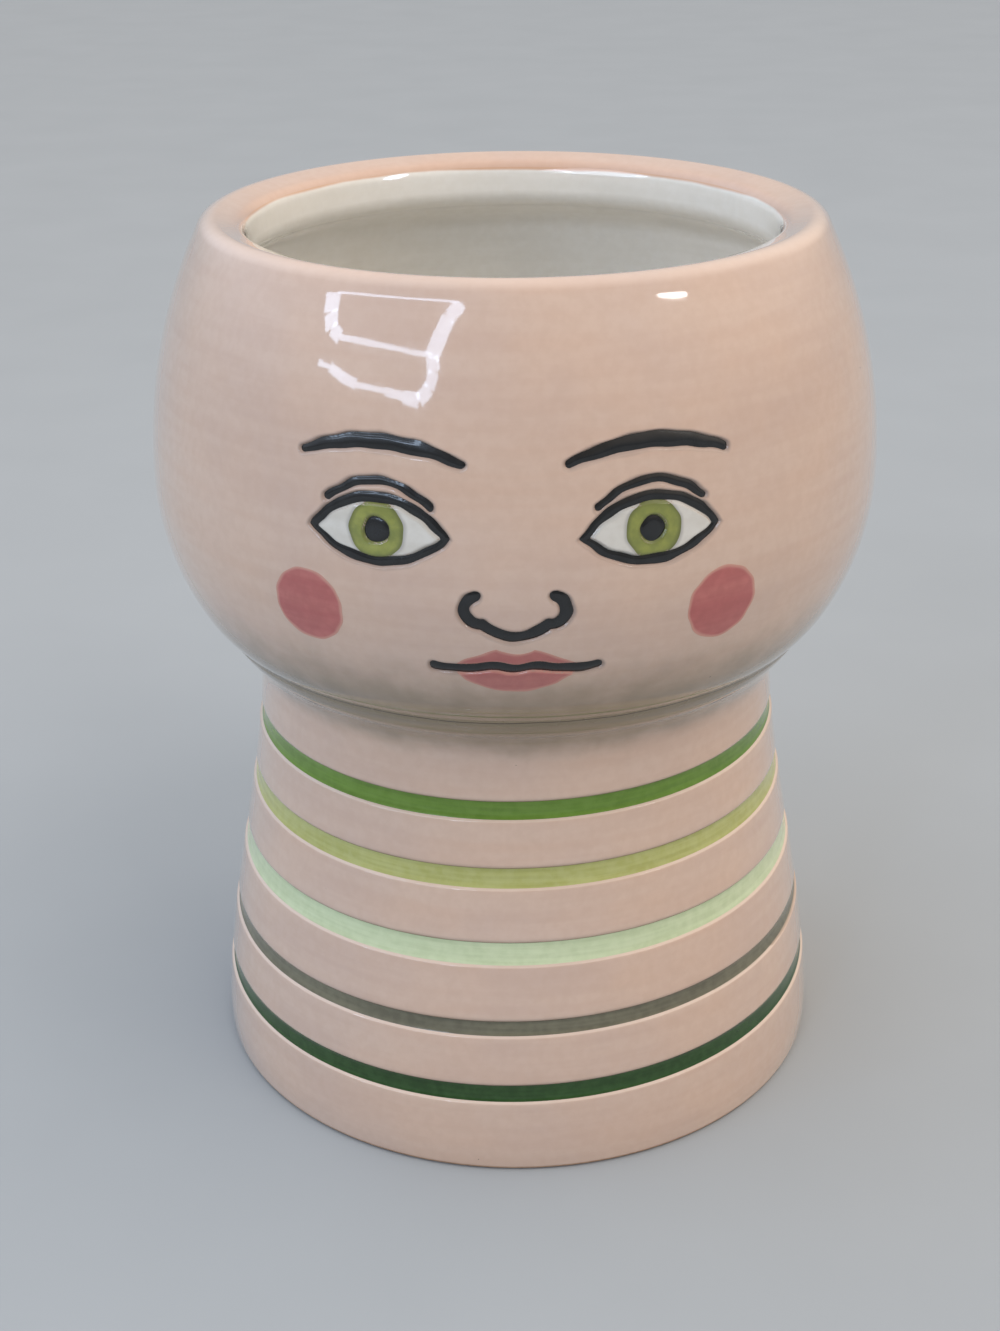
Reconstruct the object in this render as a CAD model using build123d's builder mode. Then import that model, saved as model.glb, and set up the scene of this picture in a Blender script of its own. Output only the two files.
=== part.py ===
from build123d import *
import os
from math import acos, asin, cos, degrees, pi, radians, sin, tan

# Face vase: a round bowl luted onto a flared base, in glazed earthenware.
# Millimetres, +Z up. The origin is the centre of the foot, on the surface that the vase stands on.
# The face looks along -Y and its own left is +X. Angles are in degrees.

# Bowl, outside: a wide arc above the equator, a rounder one below it and a tight one under the jaw
equator_height = 118.0
head_radius = 66.0
crown_rise = 46.1
crown_arc_radius = 94.6
side_arc_radius = 45.8
jaw_arc_radius = 21.2
jaw_arc_start = 29.0
seam_angle = 50.5
head_wall = 5.0

# Lip and throat: the top band slopes down from the shoulder to the mouth
lip_width = 7.1
lip_slope = 17.0
lip_shoulder_round = 3.0
lip_edge_round = 2.6
throat_depth = 6.9
throat_round = 3.5
undercut_height = 4.6

# Base: a collar with a rim, a cove down to the neck, and a skirt that flares to the foot
collar_rim = 3.4
collar_rim_slope = 60.0
collar_rim_round = 2.0
cove_reach = 4.85
cove_radius = 9.0
skirt_flare = 11.0
foot_height = 5.0
foot_ring_width = 6.5
foot_recess = 2.0
foot_round = 1.0
base_wall = 6.0
floor_thickness = 6.0
floor_round = 8.0

# Slip between bowl and collar, and the coat of glaze inside
slip_thickness = 0.4
glaze_coat = 0.4

# Stripes, from the neck down. The shares are the height, of the base's height up to the cove,
# and the width, of stripe_width. The last value is how far the hand-turned line leans
stripe_width = 2.8
groove_depth = 1.0
groove_fill = 0.45
groove_flare_share = 0.6
stripe_shares = {
    "stripe_green": (0.888, 0.96, 0.6),
    "stripe_olive": (0.728, 1.07, 0.7),
    "stripe_mint": (0.549, 1.25, 0.6),
    "stripe_grey_green": (0.369, 0.75, 0.9),
    "stripe_dark_green": (0.206, 0.93, 0.8),
}

# Face: dark lines are sunk and filled to a little below the surface, colours are laid in flush.
# The shares are heights between the seam, as chin, and the shoulder of the lip, as hairline
brow_height_share = 0.645
eye_height_share = 0.49
cheek_height_share = 0.303
nose_height_share = 0.303
mouth_height_share = 0.19
line_width = 1.8
line_depth = 0.9
line_fill = 0.6
colour_depth = 0.35

eye_spacing = 44.0
eye_half_width = 11.0
eye_rise = 5.8
eye_drop = 4.4
eye_line = 1.5
iris_radius = 4.6
iris_lift = 0.7
pupil_radius = 2.0
crease_gap = 2.6
crease_line = 1.2
crease_width_share = 0.78

brow_half_width = 13.0
brow_rise = 2.6
brow_thickness = 2.3
brow_tip = 1.1
brow_peak_share = 0.15
tip_round_share = 0.48

nose_half_width = 8.0
nose_wing_height = 4.8
nose_tip_half_width = 5.2
nose_tip_drop = 2.2
wing_top_share = 0.8
wing_belly_share = 0.4

mouth_half_width = 13.0
mouth_line = 1.6
mouth_wave = 0.2
mouth_dip_share = 0.12
mouth_crest_share = 0.42
lip_width_share = 0.81
upper_lip_rise = 3.9
upper_lip_dip = 0.9
lower_lip_drop = 4.8
lip_peak_share = 0.28
lip_shoulder_share = 0.62

cheek_radius = 6.5
cheek_spacing = 70.0

# How far a cut runs past what it cuts, and the spans of the base's drawn side
overrun = 3.0
skirt_spans = 6

# Arc centres in the section, as (radius, height), and the places that follow from them
crown_center = (head_radius - crown_arc_radius, equator_height)
side_center = (head_radius - side_arc_radius, equator_height)


def below(center, radius, angle):
    """Point on a circle in the section, at an angle below the horizontal."""
    return (center[0] + radius * cos(radians(angle)), center[1] - radius * sin(radians(angle)))


jaw_center = below(side_center, side_arc_radius - jaw_arc_radius, jaw_arc_start)
collar_arc_radius = jaw_arc_radius + slip_thickness
collar_edge = below(jaw_center, collar_arc_radius, seam_angle)
rim_end = below(collar_edge, -collar_rim, -collar_rim_slope)
cove_angle = degrees(acos(1 - cove_reach / cove_radius))
neck_radius = rim_end[0] - cove_reach
neck_height = rim_end[1] - cove_radius * sin(radians(cove_angle))
cove_center = (neck_radius + cove_radius, neck_height)
foot_radius = neck_radius + skirt_flare

crown_angle = degrees(asin(crown_rise / crown_arc_radius))
shoulder = below(crown_center, crown_arc_radius, -crown_angle)
throat_radius = shoulder[0] - lip_width
lip_edge_height = shoulder[1] - lip_width * tan(radians(lip_slope))
throat_height = lip_edge_height - throat_depth
bore_radius = neck_radius - base_wall
floor_height = foot_recess + floor_thickness


def skirt_radius(height):
    """Outer radius of the base: a straight and an eased slope from foot to neck, mixed evenly."""
    way = (height - foot_height) / (neck_height - foot_height)
    eased = (1 - cos(pi * way)) / 2
    return foot_radius - (foot_radius - neck_radius) * (way + eased) / 2


def skirt_points(low, high, inset):
    """Points of the base's side from one height up to another, moved inwards by inset."""
    heights = [low + (high - low) * span / skirt_spans for span in range(skirt_spans + 1)]
    return [(skirt_radius(height) - inset, height) for height in heights]


def arc_down(center, radius, first, last):
    """Arc of the section that runs down from one angle below the horizontal to another."""
    middle = (first + last) / 2
    return ThreePointArc(*[below(center, radius, angle) for angle in (first, middle, last)])


def bore_angle(arc_radius, bore):
    """Angle below the horizontal at which an arc about the jaw's centre meets a bore."""
    return degrees(acos((bore - jaw_center[0]) / arc_radius))


def head_section(depth):
    """Face between the axis and the bowl's outer curve, moved inwards by depth."""
    with BuildSketch() as section:
        with BuildLine():
            crown = arc_down(crown_center, crown_arc_radius - depth, -crown_angle, 0)
            arc_down(side_center, side_arc_radius - depth, 0, jaw_arc_start)
            jaw_radius = jaw_arc_radius - depth
            jaw = arc_down(jaw_center, jaw_radius, jaw_arc_start, bore_angle(jaw_radius, bore_radius))
            lip_edge = (throat_radius, lip_edge_height - depth)
            Polyline(jaw @ 1, (0, (jaw @ 1).Y), (0, lip_edge[1]), lip_edge, crown @ 0)
        make_face()
    return section.sketch


def cavity_section(coat, top):
    """Face between the axis and the inside of the vase up to a height, with a coat on its walls."""
    wall = head_wall + coat
    undercut = throat_height - undercut_height
    undercut_angle = degrees(asin((undercut - equator_height) / (crown_arc_radius - wall)))
    throat = throat_radius - coat
    bore = bore_radius - coat
    jaw_radius = jaw_arc_radius - wall
    with BuildSketch() as section:
        with BuildLine():
            crown = arc_down(crown_center, crown_arc_radius - wall, -undercut_angle, 0)
            arc_down(side_center, side_arc_radius - wall, 0, jaw_arc_start)
            jaw = arc_down(jaw_center, jaw_radius, jaw_arc_start, bore_angle(jaw_radius, bore))
            floor = floor_height + coat
            side = Spline(*skirt_points(floor, neck_height, base_wall + coat))
            Line(jaw @ 1, side @ 1)
            Polyline(side @ 0, (0, floor), (0, top), (throat, top), (throat, throat_height), crown @ 0)
        make_face()
        corner = section.vertices().group_by(Axis.Y)[0].sort_by(Axis.X)[-1]
        fillet(corner, radius=floor_round - coat)
        edge = section.vertices().sort_by_distance((throat, throat_height))[0]
        fillet(edge, radius=throat_round + coat)
    return section.sketch


def base_section():
    """Face between the axis and the outside of the base, with its foot ring and collar."""
    ring_radius = foot_radius - foot_ring_width
    with BuildSketch() as section:
        with BuildLine():
            side = Spline(*skirt_points(foot_height, neck_height, 0))
            arc_down(cove_center, -cove_radius, 0, cove_angle)
            Line(rim_end, collar_edge)
            bore_side = bore_angle(collar_arc_radius, bore_radius)
            collar = arc_down(jaw_center, collar_arc_radius, seam_angle, bore_side)
            Polyline(collar @ 1, (0, (collar @ 1).Y), (0, foot_recess), (ring_radius, foot_recess))
            Polyline((ring_radius, foot_recess), (ring_radius, 0), (foot_radius, 0), side @ 0)
        make_face()
        fillet(section.vertices().group_by(Axis.Y)[0], radius=foot_round)
        fillet(section.vertices().sort_by_distance(rim_end)[0], radius=collar_rim_round)
    return section.sketch


cavity_top = shoulder[1] + overrun
head_face = head_section(0)
base_face = base_section()
cavity_face = cavity_section(0, cavity_top)
glaze_face = cavity_section(0, lip_edge_height - lip_edge_round)
glazed_cavity_face = cavity_section(glaze_coat, cavity_top)

# Head bowl, before the face is sunk into it
with BuildPart() as bowl_blank:
    with BuildSketch(Plane.XZ) as bowl_section:
        add(head_face)
        add(cavity_face, mode=Mode.SUBTRACT)
        lip_corners = bowl_section.vertices().sort_by(Axis.Y)
        fillet(lip_corners[-1], radius=lip_shoulder_round)
        lip_corners = bowl_section.vertices().sort_by_distance((throat_radius, lip_edge_height))
        fillet(lip_corners[0], radius=lip_edge_round)
    revolve(axis=Axis.Z)

# Base, before its grooves are turned
with BuildPart() as base_blank:
    with BuildSketch(Plane.XZ):
        add(base_face)
        add(cavity_face, mode=Mode.SUBTRACT)
    revolve(axis=Axis.Z)

# Slip that lutes the bowl's underside to the collar, from the bore out to the seam
with BuildPart() as joint_slip:
    with BuildSketch(Plane.XZ):
        with BuildLine():
            slip_top = arc_down(
                jaw_center, jaw_arc_radius, seam_angle, bore_angle(jaw_arc_radius, bore_radius)
            )
            slip_bottom = arc_down(
                jaw_center, collar_arc_radius, seam_angle, bore_angle(collar_arc_radius, bore_radius)
            )
            Line(slip_top @ 0, slip_bottom @ 0)
            Line(slip_top @ 1, slip_bottom @ 1)
        make_face()
    revolve(axis=Axis.Z)

# White glaze inside, one coat from the lip down to the floor
with BuildPart() as inner_glaze:
    with BuildSketch(Plane.XZ):
        add(glaze_face)
        add(glazed_cavity_face, mode=Mode.SUBTRACT)
    revolve(axis=Axis.Z)

pieces = {"joint_slip": joint_slip.part, "inner_glaze": inner_glaze.part}


def stripe_ring(shares, shallow):
    """Ring about the leaning axis of a stripe, from the groove's floor out to a shallower depth."""
    height_share, width_share, lean = shares
    height = neck_height * height_share
    half_width = stripe_width * width_share / 2
    rise = skirt_radius(height + half_width) - skirt_radius(height - half_width)
    slope = rise / (2 * half_width)
    corners = []
    for side, depth in ((-1, groove_depth), (-1, shallow), (1, shallow), (1, groove_depth)):
        reach = side * (half_width + groove_flare_share * (groove_depth - depth))
        corners.append((skirt_radius(height) + slope * reach - depth, reach))
    x_dir = (cos(radians(lean)), 0, sin(radians(lean)))
    plane = Plane(origin=(0, 0, height), x_dir=x_dir, z_dir=(0, -1, 0))
    with BuildPart() as ring:
        with BuildSketch(plane):
            with BuildLine():
                Polyline(*corners, close=True)
            make_face()
        revolve(axis=Axis(plane.origin, plane.y_dir))
    return ring.part


with BuildPart() as base_skirt:
    add(base_blank.part)
    for shares in stripe_shares.values():
        add(stripe_ring(shares, -overrun), mode=Mode.SUBTRACT)
pieces["base_skirt"] = base_skirt.part

for name, shares in stripe_shares.items():
    pieces[name] = stripe_ring(shares, groove_depth - groove_fill)


def core(depth):
    """The head as if solid, with its skin taken off to a depth."""
    face = head_section(depth)
    with BuildPart() as solid:
        with BuildSketch(Plane.XZ):
            add(face)
        revolve(axis=Axis.Z)
    return solid.part


def facing(spacing, height_share):
    """Plane that faces out of the head at half a spacing, walked round its side, and at a height."""
    turn = spacing / 2 / head_radius
    height = collar_edge[1] + (shoulder[1] - collar_edge[1]) * height_share
    x_dir = (cos(turn), sin(turn), 0)
    return Plane(origin=(0, 0, height), x_dir=x_dir, z_dir=(sin(turn), -cos(turn), 0))


def almond(margin):
    """Open eye, larger all round than the middle of its outline by a margin."""
    half_width = eye_half_width + margin
    with BuildSketch() as face:
        with BuildLine():
            ThreePointArc((-half_width, 0), (0, eye_rise + margin), (half_width, 0))
            ThreePointArc((half_width, 0), (0, -eye_drop - margin), (-half_width, 0))
        make_face()
    return face.sketch


def stroke(path, width):
    """Line of even width with round ends."""
    with BuildSketch() as face:
        SlotArc(path, width)
    return face.sketch


def eye_outline():
    outer, inner = almond(eye_line / 2), almond(-eye_line / 2)
    with BuildSketch() as face:
        add(outer)
        add(inner, mode=Mode.SUBTRACT)
    return face.sketch


def eye_white():
    inner = almond(-eye_line / 2)
    with BuildSketch() as face:
        add(inner)
        with Locations((0, iris_lift)):
            Circle(iris_radius, mode=Mode.SUBTRACT)
    return face.sketch


def iris():
    inner = almond(-eye_line / 2)
    with BuildSketch() as face:
        with Locations((0, iris_lift)):
            Circle(iris_radius)
            Circle(pupil_radius, mode=Mode.SUBTRACT)
        add(inner, mode=Mode.INTERSECT)
    return face.sketch


def pupil():
    with BuildSketch() as face:
        with Locations((0, iris_lift)):
            Circle(pupil_radius)
    return face.sketch


def lid_crease():
    """Stroke over the upper lid, a part of an arc that runs beside it."""
    end = eye_half_width * crease_width_share
    end_height = crease_gap + eye_rise * (1 - crease_width_share**2)
    with BuildLine() as path:
        ThreePointArc((-end, end_height), (0, crease_gap + eye_rise), (end, end_height))
    return stroke(path.wire(), crease_line)


def brow():
    """Stroke between two arcs, fullest past its middle, with small round tips."""
    peak = brow_half_width * brow_peak_share
    tips = [(side * brow_half_width, up * brow_tip / 2) for side, up in ((-1, 1), (1, 1), (1, -1), (-1, -1))]
    with BuildSketch() as face:
        with BuildLine():
            ThreePointArc(tips[0], (peak, brow_rise + brow_thickness / 2), tips[1])
            Line(tips[1], tips[2])
            ThreePointArc(tips[2], (peak, brow_rise - brow_thickness / 2), tips[3])
            Line(tips[3], tips[0])
        make_face()
        fillet(face.vertices(), radius=brow_tip * tip_round_share)
    return face.sketch


def cheek():
    with BuildSketch() as face:
        Circle(cheek_radius)
    return face.sketch


def nose_line():
    """Tip of the nose and its two wings, as arcs that meet under the nostrils."""
    tip_end = (nose_tip_half_width, 0)
    belly = (nose_half_width, nose_wing_height * wing_belly_share)
    top = (nose_half_width * wing_top_share, nose_wing_height)
    with BuildLine() as tip:
        ThreePointArc((-tip_end[0], 0), (0, -nose_tip_drop), tip_end)
    with BuildLine() as wing:
        ThreePointArc(tip_end, belly, top)
    with BuildSketch() as face:
        SlotArc(tip.wire(), line_width)
        SlotArc(wing.wire(), line_width)
        mirror(about=Plane.YZ)
    return face.sketch


def mouth_stroke():
    """Nearly straight mouth: a small dip in the middle, a low crest and a shallow dip each side."""
    dip = mouth_half_width * mouth_dip_share
    crest = mouth_half_width * mouth_crest_share
    with BuildLine() as path:
        middle = ThreePointArc((-dip, mouth_wave), (0, 0), (dip, mouth_wave))
        for across, side in ((0, -1), (1, 1)):
            bend = TangentArc(middle @ across, (side * crest, mouth_wave), tangent=(middle % across) * side)
            TangentArc(bend @ 1, (side * mouth_half_width, mouth_wave), tangent=bend % 1)
    return stroke(path.wire(), mouth_line)


def lips():
    """Both lips with the mouth's stroke taken out of them: the lower face, then the upper one."""
    corner = (mouth_half_width * lip_width_share, 0)
    peak = (corner[0] * lip_peak_share, upper_lip_rise)
    middle = ((corner[0] + peak[0]) / 2, upper_lip_rise * lip_shoulder_share)
    between = mouth_stroke()
    with BuildSketch() as both:
        with BuildLine():
            for side in (-1, 1):
                ThreePointArc(*[(side * across, up) for across, up in (corner, middle, peak)])
            ThreePointArc((-peak[0], peak[1]), (0, upper_lip_rise - upper_lip_dip), peak)
            ThreePointArc((-corner[0], 0), (0, -lower_lip_drop), corner)
        make_face()
        add(between, mode=Mode.SUBTRACT)
    return both.faces().sort_by(Axis.Y)


def lower_lip():
    return lips()[0]


def upper_lip():
    return lips()[-1]


# Each mark of the face: its outline, the spacing of a pair, its place up the face, and whether
# it is a sunk line
face_marks = {
    "brow": (brow(), eye_spacing, brow_height_share, True),
    "lid_crease": (lid_crease(), eye_spacing, eye_height_share, True),
    "eye_outline": (eye_outline(), eye_spacing, eye_height_share, True),
    "eye_white": (eye_white(), eye_spacing, eye_height_share, False),
    "iris": (iris(), eye_spacing, eye_height_share, False),
    "pupil": (pupil(), eye_spacing, eye_height_share, True),
    "cheek": (cheek(), cheek_spacing, cheek_height_share, False),
    "nose_line": (nose_line(), 0, nose_height_share, True),
    "mouth_line": (mouth_stroke(), 0, mouth_height_share, True),
    "upper_lip": (upper_lip(), 0, mouth_height_share, False),
    "lower_lip": (lower_lip(), 0, mouth_height_share, False),
}
line_floor, line_level = core(line_depth), core(line_depth - line_fill)
colour_floor, colour_level = core(colour_depth), core(0)

recesses = []
for mark, (outline, spacing, height_share, is_line) in face_marks.items():
    with BuildPart() as recess:
        with BuildSketch(facing(spacing, height_share)):
            add(outline)
        extrude(amount=head_radius + overrun)
        add(line_floor if is_line else colour_floor, mode=Mode.SUBTRACT)
    with BuildPart() as inlay:
        add(recess.part)
        add(line_level if is_line else colour_level, mode=Mode.INTERSECT)
    recesses.append(recess.part)
    if spacing:
        recesses.append(mirror(recess.part, about=Plane.YZ))
        pieces[mark + "_left"] = inlay.part
        pieces[mark + "_right"] = mirror(inlay.part, about=Plane.YZ)
    else:
        pieces[mark] = inlay.part

with BuildPart() as head_bowl:
    add(bowl_blank.part)
    add(recesses, mode=Mode.SUBTRACT)
pieces["head_bowl"] = head_bowl.part

os.makedirs("parts", exist_ok=True)
for name, piece in pieces.items():
    piece.label = name
    export_step(piece, f"parts/{name}.step")
print(f"{len(pieces)} pieces, mouth {2 * (throat_radius - glaze_coat):.1f} mm, foot {2 * foot_radius:.1f} mm")
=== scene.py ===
# %% [markdown]
# # A glazed face vase
# The vase is earthenware: a round bowl for the head, luted with slip onto a flared base. Lines were
# cut into the clay and filled with black glaze, stripes were turned into the base and filled with
# coloured glaze, and a clear gloss lies over it all. The CAD frame already holds every piece at its
# real size, so this lesson keeps each place and size and makes what a kiln gives: soft edges, pooled
# glaze, streaks and specks.

# %% Load the frame
import math
from functools import partial

import bpy
import numpy as np
from mathutils import Matrix, Vector


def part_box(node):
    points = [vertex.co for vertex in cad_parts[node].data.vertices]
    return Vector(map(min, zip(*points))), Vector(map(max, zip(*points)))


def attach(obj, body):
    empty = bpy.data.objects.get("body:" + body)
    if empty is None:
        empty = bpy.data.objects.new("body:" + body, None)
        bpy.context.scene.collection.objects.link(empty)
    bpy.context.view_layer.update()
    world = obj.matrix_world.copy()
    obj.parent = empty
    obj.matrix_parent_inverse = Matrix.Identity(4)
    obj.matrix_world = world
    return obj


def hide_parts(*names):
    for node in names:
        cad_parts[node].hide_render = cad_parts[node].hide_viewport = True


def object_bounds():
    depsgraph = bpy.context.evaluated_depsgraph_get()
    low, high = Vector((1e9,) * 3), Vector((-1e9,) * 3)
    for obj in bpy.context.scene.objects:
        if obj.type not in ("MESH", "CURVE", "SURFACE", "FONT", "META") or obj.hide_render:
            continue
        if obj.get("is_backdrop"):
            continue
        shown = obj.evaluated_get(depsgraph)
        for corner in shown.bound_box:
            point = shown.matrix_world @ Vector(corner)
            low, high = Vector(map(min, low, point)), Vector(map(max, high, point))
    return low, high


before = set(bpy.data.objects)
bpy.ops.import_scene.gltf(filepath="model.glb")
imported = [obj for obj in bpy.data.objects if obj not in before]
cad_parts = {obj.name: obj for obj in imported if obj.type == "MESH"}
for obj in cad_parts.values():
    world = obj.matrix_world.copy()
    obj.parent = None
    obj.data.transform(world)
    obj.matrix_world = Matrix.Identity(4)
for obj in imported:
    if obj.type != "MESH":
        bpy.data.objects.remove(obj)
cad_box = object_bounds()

MM = 0.001
print(f"frame: {len(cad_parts)} nodes, {cad_box[1].z / MM:.1f} mm high")

# %% [markdown]
# ## Selecting, measuring, moving
# An operator acts on all that is selected, and the loaded nodes are selected at first, so each new
# piece starts with a clean selection. Points are read and written as one array in millimetres:
# moving thousands of vertices by a formula is sculpting with a very steady hand.

# %% Helpers for meshes


def deselect_all():
    if bpy.context.object and bpy.context.object.mode != "OBJECT":
        bpy.ops.object.mode_set(mode="OBJECT")
    bpy.ops.object.select_all(action="DESELECT")


def pick(piece):
    """Selects one piece alone and makes it the active one."""
    deselect_all()
    piece.select_set(True)
    bpy.context.view_layer.objects.active = piece


def edit_faces(piece, chosen):
    """Opens a piece in edit mode with only the chosen faces selected."""
    pick(piece)
    bpy.ops.object.mode_set(mode="EDIT")
    bpy.ops.mesh.select_mode(type="FACE")
    bpy.ops.mesh.select_all(action="DESELECT")
    bpy.ops.object.mode_set(mode="OBJECT")
    piece.data.polygons.foreach_set("select", chosen)
    bpy.ops.object.mode_set(mode="EDIT")


def rows_of(parts, name):
    """A place of each vertex or face in mm, one row each."""
    flat = np.empty(len(parts) * 3)
    parts.foreach_get(name, flat)
    return flat.reshape(-1, 3) / MM


def points_of(piece):
    return rows_of(piece.data.vertices, "co")


def middles_of(piece):
    return rows_of(piece.data.polygons, "center")


def move_points(piece, points):
    piece.data.vertices.foreach_set("co", (points * MM).ravel())
    piece.data.update()


def note(piece, name, values):
    """Stores one number a vertex, for a material to read."""
    layer = piece.data.attributes.new(name, "FLOAT", "POINT")
    layer.data.foreach_set("value", np.asarray(values, dtype=np.float32))


def describe(piece):
    piece.data.calc_loop_triangles()
    print(f"{piece.name}: {len(piece.data.loop_triangles)} triangles")


def smooth_steps(values):
    """0 to 1 with a soft start and a soft end, for values that run from 0 to 1."""
    values = np.clip(values, 0, 1)
    return values * values * (3 - 2 * values)


# %% [markdown]
# ## The shape in section
# A thrown pot is one line turned round an axis. The head's line is three arcs that flow into each
# other: a wide one up to the lip, a rounder one below the widest place and a tight one under the jaw.
# The base's line is a slope that eases out into the foot. The sizes are the frame's, with a slightly
# softer foot, and a printed comparison shows at once if the two ever drift apart.

# %% Sizes of the section, in mm and degrees
equator_height = 118.0
head_radius = 66.0
crown_rise = 46.1
crown_arc_radius = 94.6
side_arc_radius = 45.8
jaw_arc_radius = 21.2
jaw_arc_start = 29.0
seam_angle = 50.5
head_wall = 5.0
lip_width = 7.1
lip_slope = 17.0
lip_shoulder_round = 3.0
lip_edge_round = 2.6
throat_depth = 6.9
throat_round = 3.5
undercut_height = 4.6
collar_rim = 3.4
collar_rim_slope = 60.0
cove_reach = 4.85
cove_radius = 9.0
skirt_flare = 11.0
foot_height = 5.0
foot_ring_width = 6.5
foot_recess = 2.0
foot_round = 1.2
base_wall = 6.0
floor_thickness = 6.0
floor_round = 8.0
slip_thickness = 0.4
glaze_coat = 0.4

crown_center = (head_radius - crown_arc_radius, equator_height)
side_center = (head_radius - side_arc_radius, equator_height)


def below(center, radius, angle):
    """Point on a circle in the section, at an angle in degrees below the horizontal."""
    turn = math.radians(angle)
    return (center[0] + radius * math.cos(turn), center[1] - radius * math.sin(turn))


jaw_center = below(side_center, side_arc_radius - jaw_arc_radius, jaw_arc_start)
collar_radius = jaw_arc_radius + slip_thickness
collar_edge = below(jaw_center, collar_radius, seam_angle)
rim_end = below(collar_edge, -collar_rim, -collar_rim_slope)
cove_angle = math.acos(1 - cove_reach / cove_radius)
neck_radius = rim_end[0] - cove_reach
neck_height = rim_end[1] - cove_radius * math.sin(cove_angle)
foot_radius = neck_radius + skirt_flare
foot_ring_inner = foot_radius - foot_ring_width
bore_radius = neck_radius - base_wall
floor_height = foot_recess + floor_thickness
crown_angle = math.degrees(math.asin(crown_rise / crown_arc_radius))
shoulder = below(crown_center, crown_arc_radius, -crown_angle)
throat_radius = shoulder[0] - lip_width
lip_edge = (throat_radius, shoulder[1] - lip_width * math.tan(math.radians(lip_slope)))
throat_end = (throat_radius, lip_edge[1] - throat_depth)
undercut_end = throat_end[1] - undercut_height


def head_radius_at(heights, depth=0.0):
    """Radius of the head's outside at some heights, with its skin taken off to a depth."""
    heights = np.asarray(heights, dtype=float)
    jaw_top = below(side_center, side_arc_radius, jaw_arc_start)[1]
    radii = []
    for center, radius in ((crown_center, crown_arc_radius), (side_center, side_arc_radius),
                           (jaw_center, jaw_arc_radius)):
        rise = heights - center[1]
        radii.append(center[0] + np.sqrt(np.maximum((radius - depth) ** 2 - rise**2, 0)))
    return np.where(heights >= equator_height, radii[0], np.where(heights >= jaw_top, radii[1], radii[2]))


def skirt_radius_at(heights):
    """Radius of the base's outside: a straight and an eased slope from foot to neck, mixed evenly."""
    way = np.clip((np.asarray(heights, dtype=float) - foot_height) / (neck_height - foot_height), 0, 1)
    eased = (1 - np.cos(np.pi * way)) / 2
    return foot_radius - skirt_flare * (way + eased) / 2


foot_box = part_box("base_skirt")
print(f"foot {2 * foot_radius:.1f} mm, frame {(foot_box[1].x - foot_box[0].x) / MM:.1f} mm across")

# %% [markdown]
# ## Drawing a section and spinning it
# Two ways would do: a Screw modifier, or the Spin operator. Spin is used, because it leaves a plain
# mesh whose rings can then be pressed and leaned. The line itself is drawn as by hand: one vertex is
# extruded from point to point, with arcs as short steps and corners rounded to a radius.

# %% Helpers for a spun piece
ring_steps = 288
sharp_angle = 60.0
merge_distance = 0.005
clear_of_bend = 1.2


def arc(center, radius, first, last, step):
    """Points of an arc in the section between two angles below the horizontal, about step mm apart."""
    count = max(2, math.ceil(abs(math.radians(last - first)) * abs(radius) / step))
    return [below(center, radius, first + (last - first) * i / count) for i in range(count + 1)]


def soften(path, corners):
    """Rounds a path at the point nearest to each corner, given as its place, radius and steps. Points
    just outside the bend go too, because a short edge beside it would make a kink in the gloss."""
    for corner, radius, count in corners:
        middle = min(range(len(path)), key=lambda i: math.dist(path[i], corner))
        corner = Vector(path[middle])
        back = (Vector(path[middle - 1]) - corner).normalized()
        ahead = (Vector(path[(middle + 1) % len(path)]) - corner).normalized()
        half_angle = back.angle(ahead) / 2
        reach = radius / math.tan(half_angle)
        center = corner + (back + ahead).normalized() * radius / math.sin(half_angle)
        start, end = corner + back * reach - center, corner + ahead * reach - center
        bend = [center + start.slerp(end, i / count) * radius for i in range(count + 1)]
        first, last = middle, middle + 1
        while first > 0 and math.dist(path[first - 1], corner) < clear_of_bend * reach:
            first -= 1
        while last < len(path) and math.dist(path[last], corner) < clear_of_bend * reach:
            last += 1
        path = path[:first] + [tuple(p) for p in bend] + path[last:]
    return path


def draw_profile(name, path):
    """Draws a wire through (radius, height) points by extruding one vertex along them."""
    deselect_all()
    bpy.ops.mesh.primitive_circle_add(vertices=3, radius=MM)
    piece = bpy.context.object
    piece.name = piece.data.name = name
    bpy.ops.object.mode_set(mode="EDIT")
    bpy.ops.mesh.select_mode(type="VERT")
    bpy.ops.mesh.select_all(action="SELECT")
    bpy.ops.mesh.merge(type="CENTER")
    bpy.ops.transform.translate(value=(path[0][0] * MM, 0, path[0][1] * MM))
    for here, there in zip(path, path[1:]):
        step = ((there[0] - here[0]) * MM, 0, (there[1] - here[1]) * MM)
        bpy.ops.mesh.extrude_vertices_move(TRANSFORM_OT_translate={"value": step})
    return piece


def spun(name, path):
    """Spins a drawn wire round the axis, merges the seam and the poles and turns faces outwards."""
    piece = draw_profile(name, path)
    bpy.ops.mesh.select_all(action="SELECT")
    bpy.ops.mesh.spin(steps=ring_steps, angle=2 * math.pi, center=(0, 0, 0), axis=(0, 0, 1))
    bpy.ops.mesh.select_all(action="SELECT")
    bpy.ops.mesh.remove_doubles(threshold=merge_distance * MM)
    bpy.ops.mesh.normals_make_consistent(inside=False)
    bpy.ops.object.mode_set(mode="OBJECT")
    bpy.ops.object.shade_smooth_by_angle(angle=math.radians(sharp_angle))
    describe(piece)
    return piece


# %% [markdown]
# ## The face as distances
# A line cut in clay is a band round a path. If a formula gives the distance from any place to the
# band's edge, below zero inside it, then one formula serves the groove in the bowl, the outline of
# the glaze that fills it and the soft edge of its colour, and they always fit. Each mark has its own
# flat coordinates: across and up, on a plane that faces out of the head.
# The face is the potter's own calm design on plain proportions, and the same as in the frame.

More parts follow.
